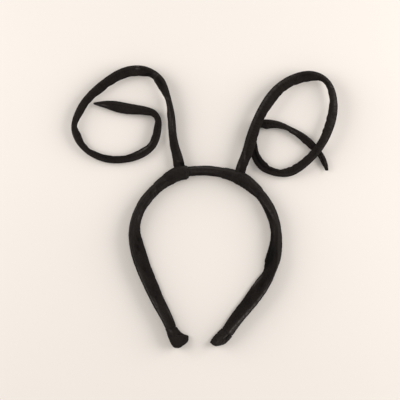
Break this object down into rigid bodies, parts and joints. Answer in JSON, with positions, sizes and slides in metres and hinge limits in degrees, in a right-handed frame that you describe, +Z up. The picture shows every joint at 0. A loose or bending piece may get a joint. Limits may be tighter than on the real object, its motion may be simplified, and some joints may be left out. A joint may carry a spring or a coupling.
{
  "type": "antenna headband",
  "caption": "Cloth-covered headband with curled wired-cloth antennae, lying flat on its side.",
  "frame": {"origin": "middle of the whole part's box, on the floor that it lies on", "axes": "+Z up from the floor, across the hoop's cloth; +Y from the hoop's ends towards the antennae; +X to the right in the picture"},
  "size_m": [0.226, 0.2396, 0.012],
  "materials": {
    "band_cloth": "black short-nap cloth, matt with a faint sheen",
    "antenna_cloth": "black short-nap cloth, matt with a faint sheen",
    "binding_cloth": "black short-nap cloth, folded and sewn"
  },
  "bodies": {
    "root": {"band": "band_cloth", "left_antenna": "antenna_cloth", "right_antenna": "antenna_cloth", "left_root_sleeve": "binding_cloth", "right_root_sleeve": "binding_cloth", "left_end_cap": "binding_cloth", "right_end_cap": "binding_cloth"}
  },
  "joints": []
}
